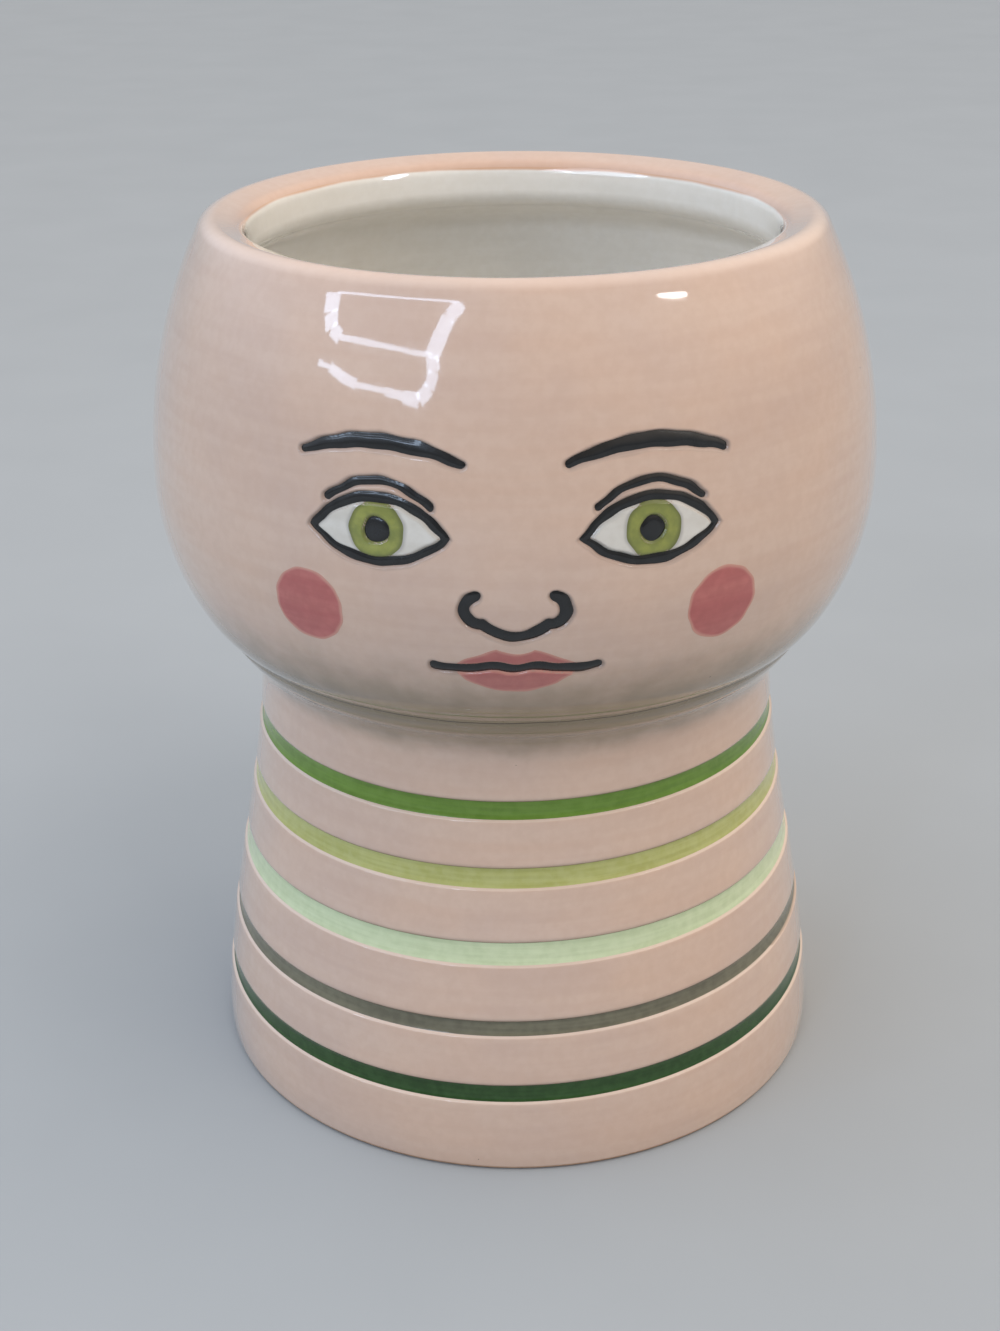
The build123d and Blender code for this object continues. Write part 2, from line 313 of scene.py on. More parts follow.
# %% Sizes of the face, in mm
eye_spacing = 44.0
eye_half_width = 11.0
eye_rise = 5.8
eye_drop = 4.4
eye_line = 1.5
iris_radius = 4.6
iris_lift = 0.7
pupil_radius = 2.0
crease_gap = 2.6
crease_line = 1.2
crease_width_share = 0.78
brow_half_width = 13.0
brow_rise = 2.66
brow_thickness = 2.35
brow_tip = 1.1
nose_half_width = 8.0
nose_wing_height = 4.8
nose_tip_half_width = 5.2
nose_tip_drop = 2.2
wing_top_share = 0.8
wing_belly_share = 0.4
nose_line_width = 1.8
mouth_half_width = 13.0
mouth_line_width = 1.6
mouth_wave = 0.2
mouth_dip_share = 0.12
mouth_crest_share = 0.42
lip_width_share = 0.81
upper_lip_rise = 3.9
upper_lip_dip = 0.9
lower_lip_drop = 4.8
lip_peak_share = 0.28
lip_shoulder_share = 0.62
cheek_radius = 6.5
cheek_spacing = 70.0
hand_wobble = 0.07
curve_steps = 14

# %% Distances to simple shapes
# A spot on the flat is a complex number: its real part is mm across, its imaginary part mm up


def wobbled(spots, seed):
    """Shifts spots a little, as a hand does: by sums of waves that never quite repeat."""
    across, up = spots.real, spots.imag
    drift = np.sin(across * 1.31 + up * 0.47 + seed) + np.sin(up * 1.73 - across * 0.83 + seed * 2.3)
    lift = np.sin(across * 1.07 - up * 0.61 + seed * 1.7) + np.sin(across * 0.49 + up * 2.11 + seed)
    return spots + hand_wobble * (drift + 1j * lift)


def disc(spots, height, radius):
    return abs(spots - 1j * height) - radius


def bow(spots, half_width, rise):
    """Distance to the disc whose top arc spans two half widths and rises between them."""
    radius = (half_width**2 + rise**2) / (2 * rise)
    return disc(spots, rise - radius, radius)


def almond(spots, margin):
    """Open eye, larger all round than the middle of its outline by a margin."""
    return np.maximum(bow(spots, eye_half_width + margin, eye_rise + margin),
                      bow(-spots, eye_half_width + margin, eye_drop + margin))


def stroke(spots, path, half_widths):
    """Distance to the edge of a band of changing width along a path."""
    best = np.full(np.shape(spots), np.inf)
    for start, end, w0, w1 in zip(path, path[1:], half_widths, half_widths[1:]):
        way = np.clip(((spots - start) / (end - start)).real, 0, 1)
        best = np.minimum(best, abs(spots - start - way * (end - start)) - w0 - (w1 - w0) * way)
    return best


def even_line(spots, path, width):
    return stroke(spots, path, [width / 2] * len(path))


def inside_of(spots, outline):
    """Distance to a closed outline, below zero inside it."""
    ring = outline + outline[:1]
    away = even_line(spots, ring, 0.0)
    within = np.zeros(np.shape(spots), dtype=bool)
    for a, b in zip(ring, ring[1:]):
        if a.imag != b.imag:
            way = (spots.imag - a.imag) / (b.imag - a.imag)
            within ^= (way > 0) & (way <= 1) & (spots.real < a.real + way * (b.real - a.real))
    return np.where(within, -away, away)


def curve_through(a, b, c):
    """Spots of the arc through three spots."""
    ratio = (c - a) / (b - a)
    center = a + (b - a) * (ratio - abs(ratio) ** 2) / (2j * ratio.imag)
    turn = np.angle((c - center) / (a - center))
    if np.angle((b - center) / (a - center)) * turn < 0:
        turn -= math.copysign(2 * math.pi, turn)
    return [center + (a - center) * np.exp(1j * turn * i / curve_steps) for i in range(curve_steps + 1)]


def curve_on(path, last):
    """Carries a path on to a last spot with an arc that leaves it smoothly."""
    along = (path[-1] - path[-2]) / abs(path[-1] - path[-2])
    gap = (last - path[-1]) / along
    radius = abs(gap) ** 2 / (2 * gap.imag)
    middle = path[-1] + 1j * along * radius * (1 - np.exp(1j * np.angle(gap)))
    return path + curve_through(path[-1], middle, last)[1:]


def other_side(path):
    """The path's mirror image, run backwards."""
    return [-spot.conjugate() for spot in path[::-1]]


# %% The marks of the face
# The mouth has a small dip in the middle, and a low crest and a shallow dip on each side
mouth_dip = mouth_half_width * mouth_dip_share + 1j * mouth_wave
mouth_crest = mouth_half_width * mouth_crest_share + 1j * mouth_wave
mouth_corner = mouth_half_width + 1j * mouth_wave
mouth_half = curve_through(-mouth_dip.conjugate(), 0, mouth_dip)[curve_steps // 2:]
mouth_half = curve_on(curve_on(mouth_half, mouth_crest), mouth_corner)
mouth_line_path = other_side(mouth_half[1:]) + mouth_half
nose_tip_path = curve_through(-nose_tip_half_width, -1j * nose_tip_drop, nose_tip_half_width)
nose_wing_path = curve_through(nose_tip_half_width,
                               nose_half_width + 1j * nose_wing_height * wing_belly_share,
                               nose_half_width * wing_top_share + 1j * nose_wing_height)
lip_corner = mouth_half_width * lip_width_share
lip_peak = lip_corner * lip_peak_share + 1j * upper_lip_rise
lip_shoulder = (lip_corner + lip_peak.real) / 2 + 1j * upper_lip_rise * lip_shoulder_share
lip_side = curve_through(lip_corner, lip_shoulder, lip_peak)
lip_dip = curve_through(lip_peak, 1j * (upper_lip_rise - upper_lip_dip), -lip_peak.conjugate())
lip_under = curve_through(-lip_corner, -1j * lower_lip_drop, lip_corner)
lip_outline = lip_side[:-1] + lip_dip[:-1] + other_side(lip_side)[:-1] + lip_under[:-1]


def mouth_line(spots):
    return even_line(spots, mouth_line_path, mouth_line_width)


def nose_line(spots):
    return np.minimum(even_line(spots, nose_tip_path, nose_line_width),
                      even_line(abs(spots.real) + 1j * spots.imag, nose_wing_path, nose_line_width))


def lips(spots):
    return np.maximum(inside_of(spots, lip_outline), -mouth_line(spots))


def upper_lip(spots):
    return np.maximum(lips(spots), -spots.imag)


def lower_lip(spots):
    return np.maximum(lips(spots), spots.imag)


def brow(spots):
    places = np.linspace(-1, 1, 25)
    bulge = 1 - places**2
    return stroke(spots, brow_half_width * places + 1j * brow_rise * bulge,
                  brow_tip / 2 + (brow_thickness - brow_tip) / 2 * bulge)


def lid_crease(spots):
    places = np.linspace(-crease_width_share, crease_width_share, 21)
    path = eye_half_width * places + 1j * (crease_gap + eye_rise * (1 - places**2))
    return even_line(spots, path, crease_line)


def eye_outline(spots):
    return np.maximum(almond(spots, eye_line / 2), -almond(spots, -eye_line / 2))


def eye_white(spots):
    return np.maximum(almond(spots, -eye_line / 2), -disc(spots, iris_lift, iris_radius))


def pupil(spots):
    return disc(spots, iris_lift, pupil_radius)


def iris(spots):
    ring = np.maximum(disc(spots, iris_lift, iris_radius), -pupil(spots))
    return np.maximum(ring, almond(spots, -eye_line / 2))


def cheek(spots):
    return disc(spots, 0, cheek_radius)


# Places up the face, as shares of the way from chin to lip
brow_share = 0.645
eye_share = 0.49
nose_share = 0.303
cheek_share = 0.303
mouth_share = 0.19

# Each mark: its distance, the spacing of a pair, its place up the face, the half size of the flat
# piece that holds it, and whether it is a sunk line
face_marks = {
    "brow": (brow, eye_spacing, brow_share, (15, 5), True),
    "lid_crease": (lid_crease, eye_spacing, eye_share, (10, 10), True),
    "eye_outline": (eye_outline, eye_spacing, eye_share, (13, 8), True),
    "eye_white": (eye_white, eye_spacing, eye_share, (12, 6), False),
    "iris": (iris, eye_spacing, eye_share, (6, 6), False),
    "pupil": (pupil, eye_spacing, eye_share, (3, 4), True),
    "cheek": (cheek, cheek_spacing, cheek_share, (8, 8), False),
    "nose_line": (nose_line, 0, nose_share, (10, 7), True),
    "mouth_line": (mouth_line, 0, mouth_share, (15, 4), True),
    "upper_lip": (upper_lip, 0, mouth_share, (12, 6), False),
    "lower_lip": (lower_lip, 0, mouth_share, (12, 6), False),
}


def sides_of(mark):
    """The copies of a mark as (name, side): its own left is +1, its right -1."""
    if face_marks[mark][1]:
        return [(mark + "_left", 1), (mark + "_right", -1)]
    return [(mark, 1)]


def mark_height(mark):
    return collar_edge[1] + (shoulder[1] - collar_edge[1]) * face_marks[mark][2]


def mark_turn(mark):
    """How far round the head a mark's plane faces, in radians."""
    return face_marks[mark][1] / 2 / head_radius


def mark_distance(mark, side, spots):
    """Distance to a mark's edge, with the hand's wobble. The lines round an eye share theirs."""
    seed = {"cheek": 1.0, "brow": 2.0, "nose_line": 3.0}.get(mark, 4.0) + side
    return face_marks[mark][0](wobbled(spots, seed))


def flat_spots(points, mark, side):
    """Spots on a mark's plane for points of the head, and whether these are in front of it."""
    facing = (points[:, 0] * side + 1j * points[:, 1]) * np.exp(-1j * mark_turn(mark))
    return facing.real + 1j * (points[:, 2] - mark_height(mark)), facing.imag < 0


line_depth = 0.8
line_shoulder = 0.42
line_wall = 0.3
search_reach = 3


def nearest_line(points):
    """Distance from points of the head to the edge of the nearest sunk line."""
    nearest = np.full(len(points), np.inf)
    for mark, (_, _, _, half_size, is_line) in face_marks.items():
        for _, side in sides_of(mark) if is_line else []:
            spots, close = flat_spots(points, mark, side)
            close &= abs(spots.real) < half_size[0] + search_reach
            close &= abs(spots.imag) < half_size[1] + search_reach
            nearest[close] = np.minimum(nearest[close], mark_distance(mark, side, spots[close]))
    return nearest


def groove_depth(distance):
    """How deep the clay is cut at a distance from a line's edge: a soft shoulder, then a wall."""
    return line_depth * smooth_steps((line_shoulder - distance) / (line_shoulder + line_wall))


print(f"{sum(len(sides_of(mark)) for mark in face_marks)} marks on the face")

# %% [markdown]
# ## The head bowl
# On the real vase the bowl is thrown, its lip folded inwards, and the lines of the face are cut while
# the clay is leather hard. The line in section runs up the outside, over the soft shoulder, down the
# band, into the throat and out under it, and back along the inside and underside, so the spun mesh is
# a closed wall. It is fine only where it needs to be: faces near a line are cut in four, three times,
# and then every vertex is set on the true curve and the lines are pressed in.

# %% Spin the bowl
wall_step = 1.4
inner_step = 3.0


def outer_wall(step):
    """The bowl's outside from the seam up to the shoulder."""
    path = arc(jaw_center, jaw_arc_radius, seam_angle, jaw_arc_start, step / 2)
    path += arc(side_center, side_arc_radius, jaw_arc_start, 0, step)[1:]
    return path + arc(crown_center, crown_arc_radius, 0, -crown_angle, step)[1:]


def bore_angle(radius):
    """Where an arc round the jaw's centre meets the bore, in degrees below the horizontal."""
    return math.degrees(math.acos((bore_radius - jaw_center[0]) / radius))


undercut_angle = math.degrees(math.asin((undercut_end - equator_height) / (crown_arc_radius - head_wall)))
inner_wall = arc(crown_center, crown_arc_radius - head_wall, -undercut_angle, 0, inner_step)
inner_wall += arc(side_center, side_arc_radius - head_wall, 0, jaw_arc_start, inner_step)[1:]
inner_jaw = jaw_arc_radius - head_wall
inner_wall += arc(jaw_center, inner_jaw, jaw_arc_start, bore_angle(inner_jaw), inner_step)[1:]
underside = arc(jaw_center, jaw_arc_radius, bore_angle(jaw_arc_radius), seam_angle, inner_step)
bowl_path = outer_wall(wall_step) + [lip_edge, throat_end] + inner_wall + underside
bowl_path = soften(bowl_path, [(shoulder, lip_shoulder_round, 8), (lip_edge, lip_edge_round, 8),
                               (throat_end, throat_round, 6)])
bowl = spun("bowl", bowl_path)

# %% Press the lines of the face into it
skin_reach = 0.2
far_away = 9.0
face_bottom, face_top = 90, 150

for reach in (2.6, 1.4, 0.8):
    middles = middles_of(bowl)
    outside = np.abs(np.hypot(middles[:, 0], middles[:, 1]) - head_radius_at(middles[:, 2])) < skin_reach
    near = np.zeros(len(middles), dtype=bool)
    near[outside] = nearest_line(middles[outside]) < reach
    edit_faces(bowl, near)
    bpy.ops.mesh.subdivide(number_cuts=1)
    bpy.ops.object.mode_set(mode="OBJECT")
    print(f"{near.sum()} faces cut in four")

places = points_of(bowl)
radii = np.hypot(places[:, 0], places[:, 1])
true_radii = head_radius_at(places[:, 2])
on_face = (np.abs(radii - true_radii) < skin_reach) & (places[:, 2] < face_top) & (places[:, 2] > face_bottom)
distance = np.full(len(places), far_away)
distance[on_face] = np.minimum(nearest_line(places[on_face]), far_away)
pressed = true_radii[on_face] - groove_depth(distance[on_face])
places[on_face, :2] *= (pressed / radii[on_face])[:, None]
move_points(bowl, places)
note(bowl, "line_distance", distance)
describe(bowl)

# %% [markdown]
# ## The base
# The base is thrown thick, and while it turned, five grooves were cut with a loop tool. The tool
# leaves a flat bottom and round shoulders, and the hand leaves each groove leaning by under a
# degree. The section is drawn with its grooves level, spun, and then leaned: each ring moves up on
# one side, while its depth under the skirt stays the same. Glaze rounds the collar's lower edge to a
# nose: a circle that touches both the hollow under it and the straight rim above it.

# %% Sizes of the stripes, in mm: the shares are a stripe's height and width, then its lean in degrees
stripe_width = 2.8
groove_bottom = 1.0
groove_fill = 0.45
groove_flare_share = 0.6
stripe_shares = {
    "stripe_green": (0.888, 0.96, 0.6),
    "stripe_olive": (0.728, 1.07, 0.7),
    "stripe_mint": (0.549, 1.25, 0.6),
    "stripe_grey_green": (0.369, 0.75, 0.9),
    "stripe_dark_green": (0.206, 0.93, 0.8),
}


def stripe_place(name):
    """Height, half width and lean in degrees of a stripe."""
    height_share, width_share, lean = stripe_shares[name]
    return neck_height * height_share, stripe_width * width_share / 2, lean


def lean_rings(piece):
    """Leans the rings of a spun piece as the grooves lean, and keeps their depth under the skirt."""
    places = points_of(piece)
    rows = sorted(stripe_place(name)[::2] for name in stripe_shares)
    heights = [foot_height] + [row[0] for row in rows] + [neck_height]
    leans = [0.0] + [row[1] for row in rows] + [0.0]
    radii = np.hypot(places[:, 0], places[:, 1])
    depth = skirt_radius_at(places[:, 2]) - radii
    lifted = places[:, 2] + places[:, 0] * np.tan(np.radians(np.interp(places[:, 2], heights, leans)))
    leaned = skirt_radius_at(lifted) - depth
    band = (depth < base_wall / 2) & (places[:, 2] > foot_height) & (places[:, 2] < neck_height)
    places[band, :2] *= (leaned[band] / radii[band])[:, None]
    places[band, 2] = lifted[band]
    move_points(piece, places)


# %% Spin the base
groove_rounds = (0.5, 0.3, 0.3, 1.1)
skirt_step = 1.6
collar_nose = 9.0
nose_step = 0.6


def skirt_point(height, depth=0.0):
    return (float(skirt_radius_at(height)) - depth, height)


def skirt_path(step):
    """The outside from the foot up to the neck, with the five grooves cut into it."""
    path = [skirt_point(foot_height)]
    rounds = []
    for name in reversed(stripe_shares):
        height, half, _ = stripe_place(name)
        flare = groove_flare_share * groove_bottom
        low, high = height - half - flare, height + half + flare
        path += [skirt_point(h) for h in np.arange(path[-1][1] + step, low - step / 2, step)]
        corners = [skirt_point(low), skirt_point(height - half, groove_bottom),
                   skirt_point(height + half, groove_bottom), skirt_point(high)]
        path += corners
        rounds += [(corner, radius, 5) for corner, radius in zip(corners, groove_rounds)]
    path += [skirt_point(h) for h in np.arange(path[-1][1] + step, neck_height - step / 2, step)]
    return soften(path, rounds)


rim_way = (Vector(rim_end) - Vector(collar_edge)).normalized()
rim_out = Vector((-rim_way.y, rim_way.x))
cove_center = Vector((neck_radius + cove_radius, neck_height))
to_rim = Vector(collar_edge) - rim_out * collar_nose - cove_center
along_rim = to_rim.dot(rim_way)
straight = -along_rim - math.sqrt(along_rim**2 - to_rim.length_squared + (cove_radius + collar_nose) ** 2)
nose_center = cove_center + to_rim + rim_way * straight
cove_end = math.degrees(math.atan2(nose_center.y - cove_center.y, cove_center.x - nose_center.x))
cove = arc(cove_center, -cove_radius, 0, cove_end, 1.0)
nose = arc(nose_center, collar_nose, cove_end, 90 - collar_rim_slope, nose_step)[1:]
collar = arc(jaw_center, collar_radius, seam_angle, bore_angle(collar_radius), inner_step)
inner_side = [skirt_point(h, base_wall) for h in np.linspace(neck_height, floor_height, 20)]
floor_middle = (0, floor_height)
foot_ring = [(0, foot_recess), (foot_ring_inner, foot_recess), (foot_ring_inner, 0), (foot_radius, 0)]
base_path = foot_ring + skirt_path(skirt_step) + cove + nose + collar + inner_side + [floor_middle]
base_path = soften(base_path, [(inner_side[-1], floor_round, 8), (foot_ring[2], foot_round, 5),
                               (foot_ring[3], foot_round, 6)])
base = spun("base", base_path)
lean_rings(base)

# %% [markdown]
# ## Glaze in the grooves
# Stripe glaze is poured thick into its groove and dries a little hollow, higher at both walls. Each
# ring is spun from its own small section: the groove's floor below, a shallow dish on top.

# %% Spin the stripes
ring_pieces = {}
dish_points = 10
dish_hollow = 0.12
dish_rise = 0.22
wall_bite = 0.07


def stripe_section(name):
    height, half, _ = stripe_place(name)
    reach = half + groove_flare_share * groove_fill + wall_bite
    across = np.linspace(-reach, reach, dish_points)
    depth = groove_bottom - groove_fill + dish_hollow - dish_rise * (across / reach) ** 4
    floor = [skirt_point(height + half, groove_bottom), skirt_point(height - half, groove_bottom)]
    dish = [skirt_point(height + a, d) for a, d in zip(across, depth)]
    return dish + floor + dish[:1]


for name in stripe_shares:
    ring_pieces[name] = spun(name.replace("stripe", "glaze_ring"), stripe_section(name))
    lean_rings(ring_pieces[name])

# %% [markdown]
# ## The joint
# Bowl and base are stuck together with slip. The potter wipes it over the seam from the jaw down to the
# collar's rim, which smooths the small step, and in the fire it opens into one fine dark line that
# wanders a little under the jaw. The ring fills the gap and carries that skin; how far each vertex is
# from the wandering line is noted for its colour.

# %% Spin the slip
skin_above = 1.6
skin_below = 0.8
skin_lift = 0.015
skin_tuck = 0.02
skin_steps = 16
line_above_seam = 0.45
line_wander = 0.1


def waves(piece, parts):
    """Heights of a piece's points, and a sum of waves round the axis: each has a count, a strength
    and a start."""
    places = points_of(piece)
    angles = np.arctan2(places[:, 1], places[:, 0])
    return places[:, 2], sum(strength * np.sin(angles * count + start) for count, strength, start in parts)


shares = [i / skin_steps for i in range(skin_steps + 1)]
skin_turn = math.degrees(skin_above / jaw_arc_radius)
skin = []
for share in shares:
    lift = (slip_thickness + skin_lift + skin_tuck) * share**1.6 - skin_tuck
    skin.append(below(jaw_center, jaw_arc_radius + lift, seam_angle - skin_turn * (1 - share)))
for share in shares[1:]:
    lift = skin_lift - (skin_lift + skin_tuck) * share**2
    skin.append(tuple(Vector(collar_edge) + rim_out * lift + rim_way * skin_below * share))
slip_bottom = arc(jaw_center, collar_radius, seam_angle, bore_angle(collar_radius), 2.0)
slip_top = arc(jaw_center, jaw_arc_radius, bore_angle(jaw_arc_radius), seam_angle, 2.0)
slip_ring = spun("slip_ring", skin + slip_bottom + slip_top + skin[:1])
seam_height = below(jaw_center, jaw_arc_radius + slip_thickness / 2, seam_angle)[1]
heights, wander = waves(slip_ring, ((5, 1, 0.6), (13, 0.8, 2.1), (37, 0.4, 1.0)))
note(slip_ring, "from_line", np.abs(heights - (seam_height + line_above_seam + line_wander * wander)))

# %% [markdown]
# ## The white glaze inside
# The inside is glazed by filling the vase and pouring it out, so one white coat runs from the lip to
# the floor. At the lip it thins to nothing where it meets the peach, along an edge that wavers.

# %% Spin the liner
liner_top = lip_edge[1] - 0.45
coat_grows_over = 5.0
thinnest_coat = 0.02
wall_overlap = 0.05
liner_waver = 0.15


def glazed(path, coats):
    """Moves the points of a path off the wall that they run down, each by its coat."""
    points = np.array(path, dtype=float)
    along = np.gradient(points, axis=0)
    along /= np.hypot(along[:, 0], along[:, 1])[:, None]
    moved = points + np.stack([along[:, 1], -along[:, 0]], axis=1) * np.reshape(coats, (-1, 1))
    moved[-1, 0] = 0
    return [tuple(p) for p in moved]


inside_path = soften([shoulder, lip_edge, throat_end], [(lip_edge, lip_edge_round, 14)])
inside_path = [p for p in inside_path if p[1] < liner_top and p[0] < shoulder[0] - 1]
inside_path = soften(inside_path + inner_wall + inner_side + [floor_middle],
                     [(throat_end, throat_round, 8), (inner_side[-1], floor_round, 8)])
way_down = np.cumsum([0] + [math.dist(p, q) for p, q in zip(inside_path, inside_path[1:])])
coats = thinnest_coat + (glaze_coat - thinnest_coat) * smooth_steps(way_down / coat_grows_over)
against_wall = glazed(inside_path, [-wall_overlap] * len(inside_path))
liner = spun("liner", glazed(inside_path, coats)[::-1] + against_wall)
heights, waver = waves(liner, ((3, 1, 1.0), (7, 0.7, 0.4), (16, 0.4, 2.0)))
note(liner, "below_lip", liner_top - heights + liner_waver * waver)

# %% [markdown]
# ## The marks of the face
# Each mark could be a flat curve, but then its edge would be a wire and its surface dead. Instead a
# fine grid is cut out with the mark's own distance: faces outside are deleted, faces that hang on by a
# corner get a neighbour back, the rim is drawn onto the outline, and the flat piece is laid onto the
# head and given a thickness. Black glaze lies in its groove, domed as a thick glaze dries. Colours lie
# on the clay and follow it into the lines.

# %% Cut a flat mark and lay it on the head
cell = 0.2
ink_bite = 0.14
ink_edge_depth = 0.44
ink_dome = 0.2
ink_dome_reach = 0.4
colour_lift = 0.03
mark_thickness = 0.3
rim_passes = 3
tiny_step = 0.02
least_slope = 0.5


def cut_flat(name, mark, side):
    """A flat piece in the shape of a mark, its corners in mm across and up."""
    half_size, is_line = face_marks[mark][3:]
    columns, rows = (round(2 * size / cell) for size in half_size)
    deselect_all()
    bpy.ops.mesh.primitive_grid_add(x_subdivisions=columns, y_subdivisions=rows, size=2 * MM)
    piece = bpy.context.object
    piece.name = piece.data.name = name
    bpy.ops.object.mode_set(mode="EDIT")
    bpy.ops.transform.resize(value=(half_size[0], half_size[1], 1))
    bpy.ops.object.mode_set(mode="OBJECT")

    def past_edge(places):
        return mark_distance(mark, side, places[:, 0] + 1j * places[:, 1]) - (ink_bite if is_line else 0.0)

    keep = (past_edge(middles_of(piece)) <= 0).reshape(rows, columns)
    one_way = keep[:-1, :-1] & keep[1:, 1:] & ~keep[:-1, 1:] & ~keep[1:, :-1]
    other_way = ~keep[:-1, :-1] & ~keep[1:, 1:] & keep[:-1, 1:] & keep[1:, :-1]
    keep[:-1, 1:] |= one_way
    keep[:-1, :-1] |= other_way
    edit_faces(piece, ~keep.ravel())
    bpy.ops.mesh.delete(type="FACE")
    bpy.ops.mesh.select_all(action="SELECT")
    bpy.ops.mesh.region_to_loop()
    bpy.ops.object.mode_set(mode="OBJECT")
    on_rim = np.zeros(len(piece.data.vertices), dtype=bool)
    piece.data.vertices.foreach_get("select", on_rim)
    flat = points_of(piece)
    for _ in range(rim_passes):
        rim = flat[on_rim]
        gap = past_edge(rim)
        slope = np.stack([past_edge(rim + step) - gap for step in tiny_step * np.eye(3)[:2]], axis=1)
        slope /= tiny_step
        length = np.maximum(np.hypot(slope[:, 0], slope[:, 1]), least_slope)
        flat[on_rim, :2] -= slope * (gap / length**2)[:, None]
    move_points(piece, flat)
    return piece


def lay_on_head(piece, mark, side):
    """Wraps a flat mark onto the head, at the level of its glaze, and thickens it inwards."""
    flat = points_of(piece)
    across, up = flat[:, 0], flat[:, 1]
    own = mark_distance(mark, side, across + 1j * up)
    height = up + mark_height(mark)

    def on_head(depth):
        out = np.sqrt((head_radius_at(height) - depth) ** 2 - across**2)
        turned = (across - 1j * out) * np.exp(1j * mark_turn(mark))
        return np.stack([turned.real * side, turned.imag, height], axis=1)

    if face_marks[mark][4]:
        depth = ink_edge_depth - ink_dome * (1 - np.exp(np.minimum(own, 0) / ink_dome_reach))
    else:
        depth = groove_depth(nearest_line(on_head(0.0))) - colour_lift
    move_points(piece, on_head(depth))
    note(piece, "from_rim", -own)
    pick(piece)
    if side < 0:
        bpy.ops.object.mode_set(mode="EDIT")
        bpy.ops.mesh.select_all(action="SELECT")
        bpy.ops.mesh.flip_normals()
        bpy.ops.object.mode_set(mode="OBJECT")
    wall = piece.modifiers.new("thickness", "SOLIDIFY")
    wall.thickness = mark_thickness * MM
    wall.offset = -1
    bpy.ops.object.modifier_apply(modifier=wall.name)
    bpy.ops.object.shade_smooth_by_angle(angle=math.radians(sharp_angle))


mark_pieces = {}
for mark in face_marks:
    for name, side in sides_of(mark):
        mark_pieces[name] = cut_flat("face_" + name, mark, side)
        lay_on_head(mark_pieces[name], mark, side)
        describe(mark_pieces[name])

# %% [markdown]
# ## Numbers for the glazes to read
# Colour is painted where the form changes: a painted highlight on the shoulder and on the lower edge of
# each groove, painted shade in its upper edge and towards the joint, and orange where glaze runs thick into
# the mouth.
# The bowl and the base get these distances as one number a vertex, so that their glaze can follow the
# form and not float through it: from the shoulder, from the joint, and how deep in a groove.

# %% Note where the edges are
places = points_of(bowl)
radii = np.hypot(places[:, 0], places[:, 1])
from_shoulder = np.hypot(radii - shoulder[0], places[:, 2] - shoulder[1])
on_band = (radii < shoulder[0] - lip_shoulder_round / 2) & (places[:, 2] > undercut_end)
note(bowl, "from_shoulder", from_shoulder)
note(bowl, "past_shoulder", np.where(on_band, from_shoulder, -from_shoulder))
note(bowl, "from_joint", places[:, 2] - seam_height)

places = points_of(base)
radii = np.hypot(places[:, 0], places[:, 1])
above_foot = (places[:, 2] > foot_height) & (places[:, 2] < neck_height)
sunk = np.clip(np.where(above_foot, skirt_radius_at(places[:, 2]) - radii, 0), 0, groove_bottom)
groove_middles, _, groove_leans = np.array([stripe_place(name) for name in stripe_shares]).T
to_middle = places[:, 2:] - (groove_middles - places[:, :1] * np.tan(np.radians(groove_leans)))
nearest = np.argmin(np.abs(to_middle), axis=1)
above_middle = to_middle[np.arange(len(places)), nearest] > 0
note(base, "upper_edge", np.where(above_middle, sunk, 0))
note(base, "lower_edge", np.where(above_middle, 0, sunk))
note(base, "from_joint", seam_height - places[:, 2])
print(f"deepest groove {sunk.max():.2f} mm")

# %% [markdown]
# ## Making a material
# A shader wants linear light, while colours are picked on a screen as sRGB, so one function turns
# them. A second one adds a node with its settings and its links. Pattern sizes are given in mm on the
# clay: a texture's scale is how many of them fit in a metre.

# %% Helpers for materials


def linear(hex_colour):
    """An sRGB hex colour as linear red, green, blue and alpha."""
    parts = [int(hex_colour[i:i + 2], 16) / 255 for i in (1, 3, 5)]
    return [p / 12.92 if p <= 0.04045 else ((p + 0.055) / 1.055) ** 2.4 for p in parts] + [1.0]


def scale_for(size):
    return 1 / (size * MM)


def add_node(owner, kind, inputs=None, **settings):
    """Adds a node to a material or world. An input gets a value, or a socket to be linked to."""
    node = owner.node_tree.nodes.new("ShaderNode" + kind)
    for name, value in settings.items():
        setattr(node, name, value)
    for socket, value in (inputs or {}).items():
        if isinstance(value, bpy.types.NodeSocket):
            owner.node_tree.links.new(value, node.inputs[socket])
        else:
            node.inputs[socket].default_value = value
    return node


def blank(owner):
    """Empties the nodes of a material or world, and returns add_node for it."""
    owner.use_nodes = True
    owner.node_tree.nodes.clear()
    return partial(add_node, owner)


# %% [markdown]
# ## Glaze
# All the glazes here are built up like the real ones: a coloured slip or underglaze that was brushed on
# and so has clouds, streaks round the pot and a fine mottle, tiny iron specks from the clay, and a clear
# gloss over it that has run a little uneven. So one recipe makes them all, and each gets its own colours.
# Mix node: socket 0 is the share, 6 and 7 are the two colours, and output 2 is the result.

# %% A recipe for glaze
cloud_size = 26.0
brush_size = (34.0, 2.4)
mottle_size = 1.8
edge_waver = 6.0
layer_waver = 0.5
speck_spacing = 6.5
speck_radius = 0.16
sag_size = 10.0
brush_relief = 0.006
pinhole_size = 1.1
pinhole_depth = 0.003
glass_ior = 1.5


